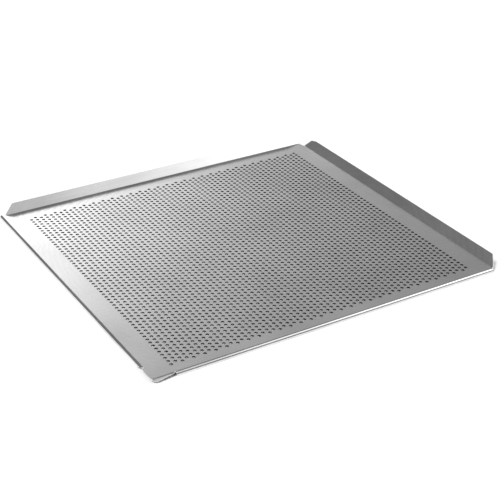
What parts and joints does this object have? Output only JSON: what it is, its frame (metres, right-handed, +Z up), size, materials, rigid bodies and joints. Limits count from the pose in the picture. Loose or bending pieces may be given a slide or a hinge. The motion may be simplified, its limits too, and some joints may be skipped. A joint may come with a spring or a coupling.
{
  "type": "baguette tray",
  "caption": "Flat perforated aluminium baking tray with two flared flanges and two short lips turned down.",
  "frame": {"origin": "below the middle of the tray's box, at the height of the lips' lower edges", "axes": "+Z up, +X towards the side flange, +Y towards the back flange"},
  "size_m": [0.351, 0.3258, 0.011],
  "materials": {
    "aluminium_sheet": "mill-finish aluminium sheet with a faint lengthwise grain and light rubbing marks"
  },
  "bodies": {
    "root": {"base_left": "aluminium_sheet", "base_mid_left": "aluminium_sheet", "base_mid_right": "aluminium_sheet", "base_right": "aluminium_sheet", "back_flange": "aluminium_sheet", "side_flange": "aluminium_sheet", "front_lip": "aluminium_sheet", "side_lip": "aluminium_sheet", "corner_tab": "aluminium_sheet"}
  },
  "joints": []
}
